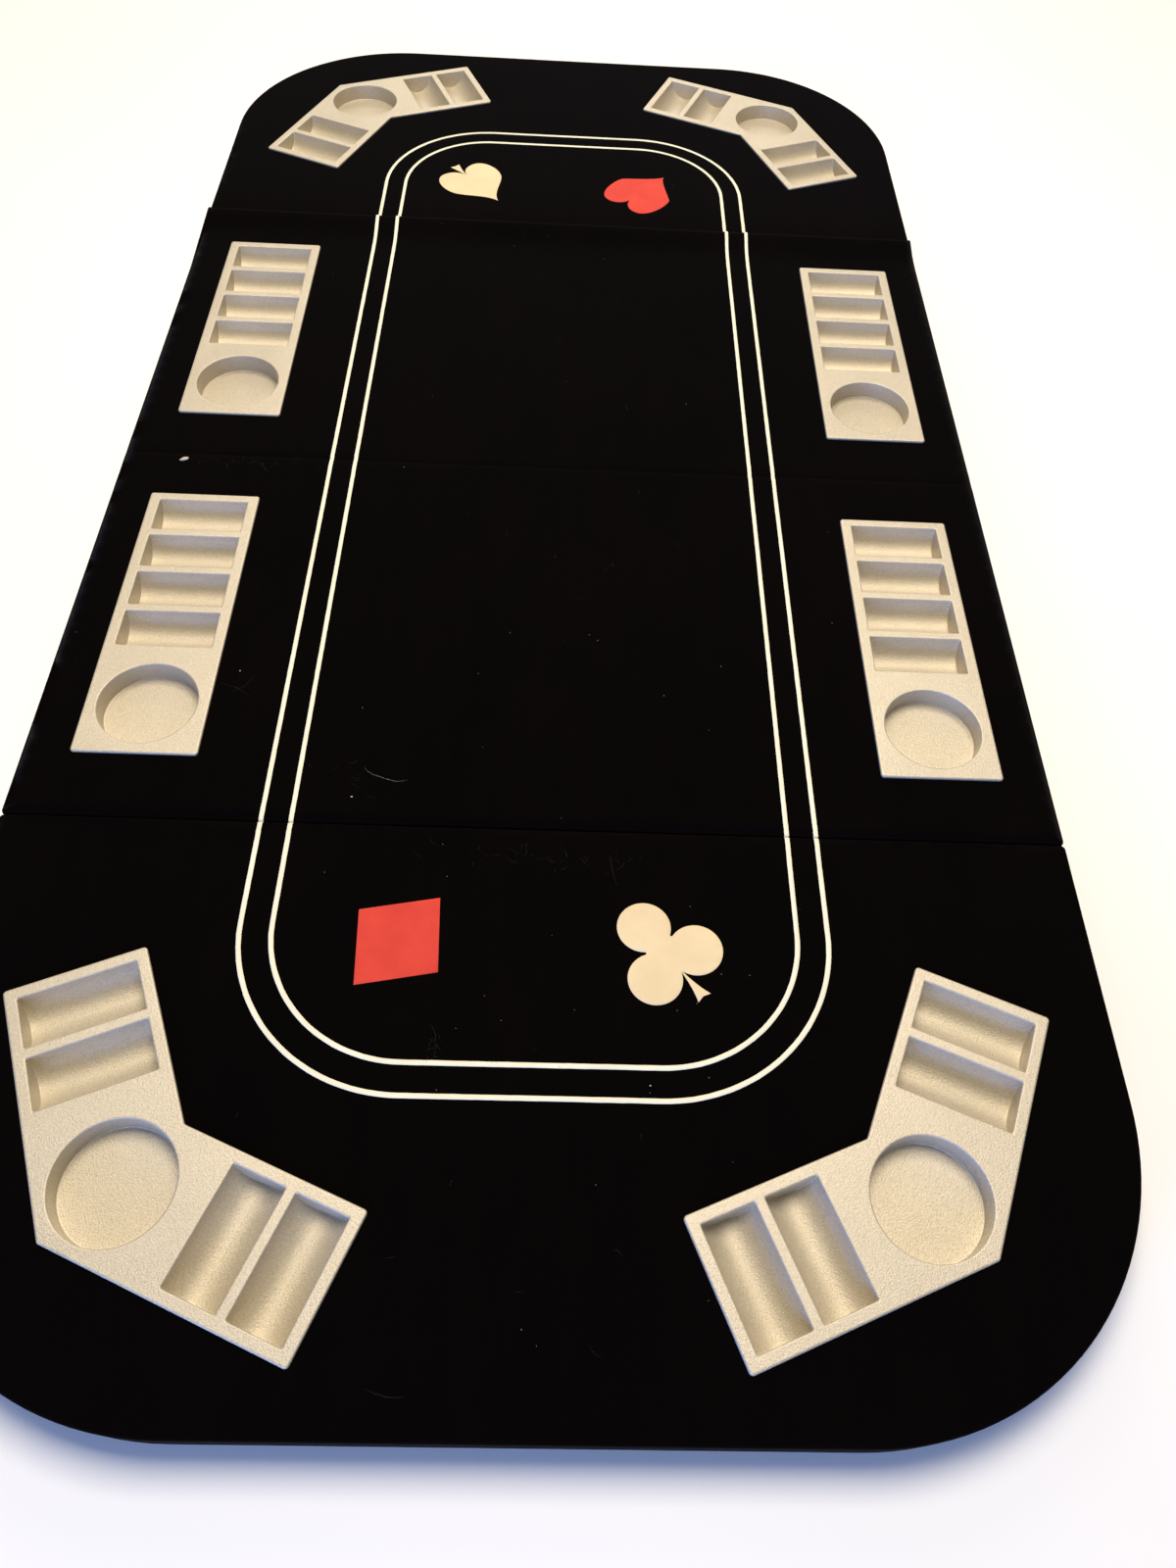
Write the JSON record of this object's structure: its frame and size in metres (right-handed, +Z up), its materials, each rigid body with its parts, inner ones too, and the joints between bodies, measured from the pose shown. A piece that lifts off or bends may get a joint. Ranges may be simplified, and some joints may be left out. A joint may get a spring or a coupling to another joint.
{
  "type": "folding poker table top",
  "caption": "Long rounded felt playing surface in hinged panels that fold in a zigzag, with moulded trays for chips and drinks.",
  "frame": {"origin": "middle of the opened top's footprint, at the level of the feet's soles", "axes": "+Y along the length from the near end to the far end, +X to the right, +Z up out of the felt"},
  "size_m": [0.9144, 1.8288, 0.0426],
  "materials": {
    "black_felt": "short-pile velvet felt",
    "silver_tray": "satin metallic paint with a fine sandy grain",
    "deck_board": "raw fibreboard",
    "black_frame": "black painted fibreboard",
    "hinge_steel": "zinc plated, slightly dull",
    "rubber_foot": "matt moulded rubber",
    "hinge_tape": "woven cloth tape",
    "cream_print": "flocked transfer print on the felt",
    "red_print": "flocked transfer print on the felt"
  },
  "bodies": {
    "near_middle_panel": {"near_hinge_tape": "hinge_tape", "near_left_hinge_middle_leaf": "hinge_steel", "near_left_hinge_pin": "hinge_steel", "near_left_side_tray": "silver_tray", "near_middle_deck": "deck_board", "near_middle_felt": "black_felt", "near_middle_inner_left_foot": "rubber_foot", "near_middle_inner_rail": "black_frame", "near_middle_inner_right_foot": "rubber_foot", "near_middle_left_rail": "black_frame", "near_middle_outer_left_foot": "rubber_foot", "near_middle_outer_rail": "black_frame", "near_middle_outer_right_foot": "rubber_foot", "near_middle_right_rail": "black_frame", "near_right_hinge_middle_leaf": "hinge_steel", "near_right_hinge_pin": "hinge_steel", "near_right_side_tray": "silver_tray"},
    "far_middle_panel": {"far_hinge_tape": "hinge_tape", "far_left_hinge_middle_leaf": "hinge_steel", "far_left_hinge_pin": "hinge_steel", "far_left_side_tray": "silver_tray", "far_middle_deck": "deck_board", "far_middle_felt": "black_felt", "far_middle_inner_left_foot": "rubber_foot", "far_middle_inner_rail": "black_frame", "far_middle_inner_right_foot": "rubber_foot", "far_middle_left_rail": "black_frame", "far_middle_outer_left_foot": "rubber_foot", "far_middle_outer_rail": "black_frame", "far_middle_outer_right_foot": "rubber_foot", "far_middle_right_rail": "black_frame", "far_right_hinge_middle_leaf": "hinge_steel", "far_right_hinge_pin": "hinge_steel", "far_right_side_tray": "silver_tray"},
    "near_end_panel": {"near_end_cross_rail": "black_frame", "near_end_deck": "deck_board", "near_end_felt": "black_felt", "near_end_fold_rail": "black_frame", "near_end_left_foot": "rubber_foot", "near_end_left_rail": "black_frame", "near_end_right_foot": "rubber_foot", "near_end_right_rail": "black_frame", "near_left_corner_tray": "silver_tray", "near_left_hinge_end_leaf": "hinge_steel", "near_right_corner_tray": "silver_tray", "near_right_hinge_end_leaf": "hinge_steel"},
    "far_end_panel": {"far_end_cross_rail": "black_frame", "far_end_deck": "deck_board", "far_end_felt": "black_felt", "far_end_fold_rail": "black_frame", "far_end_left_foot": "rubber_foot", "far_end_left_rail": "black_frame", "far_end_right_foot": "rubber_foot", "far_end_right_rail": "black_frame", "far_left_corner_tray": "silver_tray", "far_left_hinge_end_leaf": "hinge_steel", "far_right_corner_tray": "silver_tray", "far_right_hinge_end_leaf": "hinge_steel"}
  },
  "joints": [
    {"name": "near_fold", "type": "hinge", "parent": "near_middle_panel", "child": "near_end_panel", "pos_m": [0, -0.4572, 0.003], "axis": [1, 0, 0], "range_deg": [0, 180]},
    {"name": "middle_fold", "type": "hinge", "parent": "near_middle_panel", "child": "far_middle_panel", "pos_m": [0, 0, 0.04], "axis": [1, 0, 0], "range_deg": [0, 175]},
    {"name": "far_fold", "type": "hinge", "parent": "far_middle_panel", "child": "far_end_panel", "pos_m": [0, 0.4572, 0.003], "axis": [-1, 0, 0], "range_deg": [0, 180]}
  ]
}
